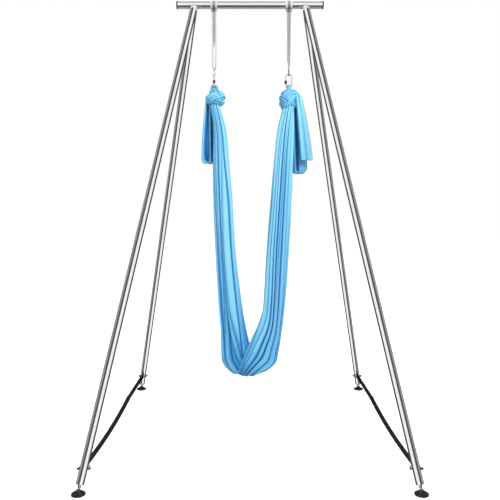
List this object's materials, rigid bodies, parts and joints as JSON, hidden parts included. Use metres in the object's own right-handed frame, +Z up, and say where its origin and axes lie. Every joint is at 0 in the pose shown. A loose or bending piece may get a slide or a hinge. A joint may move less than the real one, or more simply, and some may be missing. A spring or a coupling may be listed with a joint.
{
  "type": "aerial yoga rig with hammock",
  "caption": "Free-standing splayed-leg tube rig with a round beam, levelling feet and floor straps, carrying a gathered cloth hammock on webbing slings and screw-gate carabiners.",
  "frame": {"origin": "on the floor, under the middle of the beam and in the middle of the four feet", "axes": "+X along the beam to the right as pictured, +Y from the front legs to the rear legs, +Z up"},
  "size_m": [1.938, 1.978, 2.9279],
  "materials": {
    "chrome_tube": "polished",
    "polished_steel": "polished",
    "zinc": "satin",
    "black_steel": "satin",
    "black_plastic": "matte",
    "rubber": "matte",
    "black_webbing": "matte",
    "grey_webbing": "matte",
    "red_sleeve": "satin",
    "blue_cloth": "satin"
  },
  "bodies": {
    "stand": {"beam_tube": "chrome_tube", "beam_cap_left": "black_plastic", "beam_cap_right": "black_plastic", "leg_stub_front_left": "chrome_tube", "leg_stub_front_right": "chrome_tube", "leg_stub_rear_left": "chrome_tube", "leg_stub_rear_right": "chrome_tube", "leg_upper_front_left": "chrome_tube", "leg_upper_front_right": "chrome_tube", "leg_upper_rear_left": "chrome_tube", "leg_upper_rear_right": "chrome_tube", "leg_middle_front_left": "chrome_tube", "leg_middle_front_right": "chrome_tube", "leg_middle_rear_left": "chrome_tube", "leg_middle_rear_right": "chrome_tube", "leg_lower_front_left": "chrome_tube", "leg_lower_front_right": "chrome_tube", "leg_lower_rear_left": "chrome_tube", "leg_lower_rear_right": "chrome_tube", "foot_plug_front_left": "zinc", "foot_plug_front_right": "zinc", "foot_plug_rear_left": "zinc", "foot_plug_rear_right": "zinc", "lock_nut_front_left": "zinc", "lock_nut_front_right": "zinc", "lock_nut_rear_left": "zinc", "lock_nut_rear_right": "zinc", "strap_bolt_front_left": "zinc", "strap_bolt_front_right": "zinc", "strap_bolt_rear_left": "zinc", "strap_bolt_rear_right": "zinc", "strap_bail_front_left": "black_steel", "strap_bail_front_right": "black_steel", "strap_bail_rear_left": "black_steel", "strap_bail_rear_right": "black_steel", "floor_strap_left": "black_webbing", "floor_strap_right": "black_webbing", "strap_buckle_left": "black_plastic", "strap_buckle_right": "black_plastic"},
    "slings": {"sling_left": "grey_webbing", "sling_right": "grey_webbing"},
    "hammock": {"carabiner_left": "polished_steel", "carabiner_right": "polished_steel", "hammock_loop": "blue_cloth", "hammock_knot_left": "blue_cloth", "hammock_knot_right": "blue_cloth", "hammock_tail_left": "blue_cloth", "hammock_tail_right": "blue_cloth"},
    "gate_left": {"carabiner_gate_left": "polished_steel"},
    "gate_right": {"carabiner_gate_right": "polished_steel"},
    "sleeve_left": {"screw_sleeve_left": "red_sleeve"},
    "sleeve_right": {"screw_sleeve_right": "red_sleeve"},
    "stud_front_left": {"levelling_stud_front_left": "zinc"},
    "stud_front_right": {"levelling_stud_front_right": "zinc"},
    "stud_rear_left": {"levelling_stud_rear_left": "zinc"},
    "stud_rear_right": {"levelling_stud_rear_right": "zinc"},
    "pad_front_left": {"foot_pad_front_left": "rubber"},
    "pad_front_right": {"foot_pad_front_right": "rubber"},
    "pad_rear_left": {"foot_pad_rear_left": "rubber"},
    "pad_rear_right": {"foot_pad_rear_right": "rubber"}
  },
  "joints": [
    {"name": "hammock_swing", "type": "hinge", "parent": "stand", "child": "slings", "pos_m": [0, 0, 2.9], "axis": [1, 0, 0], "range_deg": [-60, 60]},
    {"name": "hammock_pitch", "type": "hinge", "parent": "slings", "child": "hammock", "pos_m": [0, 0, 2.442], "axis": [1, 0, 0], "range_deg": [-20, 20]},
    {"name": "gate_left", "type": "hinge", "parent": "hammock", "child": "gate_left", "pos_m": [-0.24, -0.02, 2.42], "axis": [1, 0, 0], "range_deg": [0, 25], "stiffness_Nm_per_rad": 0.05, "springref_deg": -11.46},
    {"name": "gate_right", "type": "hinge", "parent": "hammock", "child": "gate_right", "pos_m": [0.24, 0, 2.42], "axis": [0, -1, 0], "range_deg": [0, 25], "stiffness_Nm_per_rad": 0.05, "springref_deg": -11.46},
    {"name": "sleeve_left", "type": "slide", "parent": "gate_left", "child": "sleeve_left", "axis": [0, 0, 1], "range_m": [-0.007, 0.007]},
    {"name": "sleeve_right", "type": "slide", "parent": "gate_right", "child": "sleeve_right", "axis": [0, 0, 1], "range_m": [-0.007, 0.007]},
    {"name": "level_front_left", "type": "slide", "parent": "stand", "child": "stud_front_left", "axis": [-0.1816, -0.3081, -0.9338], "range_m": [0, 0.015]},
    {"name": "level_front_right", "type": "slide", "parent": "stand", "child": "stud_front_right", "axis": [0.1816, -0.3081, -0.9338], "range_m": [0, 0.015]},
    {"name": "level_rear_left", "type": "slide", "parent": "stand", "child": "stud_rear_left", "axis": [-0.1816, 0.3081, -0.9338], "range_m": [0, 0.015]},
    {"name": "level_rear_right", "type": "slide", "parent": "stand", "child": "stud_rear_right", "axis": [0.1816, 0.3081, -0.9338], "range_m": [0, 0.015]},
    {"name": "pad_tilt_front_left", "type": "hinge", "parent": "stud_front_left", "child": "pad_front_left", "pos_m": [-0.93, -0.95, 0.021], "axis": [0.8615, -0.5078, 0], "range_deg": [-10, 10]},
    {"name": "pad_tilt_front_right", "type": "hinge", "parent": "stud_front_right", "child": "pad_front_right", "pos_m": [0.93, -0.95, 0.021], "axis": [0.8615, 0.5078, 0], "range_deg": [-10, 10]},
    {"name": "pad_tilt_rear_left", "type": "hinge", "parent": "stud_rear_left", "child": "pad_rear_left", "pos_m": [-0.93, 0.95, 0.021], "axis": [-0.8615, -0.5078, 0], "range_deg": [-10, 10]},
    {"name": "pad_tilt_rear_right", "type": "hinge", "parent": "stud_rear_right", "child": "pad_rear_right", "pos_m": [0.93, 0.95, 0.021], "axis": [-0.8615, 0.5078, 0], "range_deg": [-10, 10]}
  ]
}
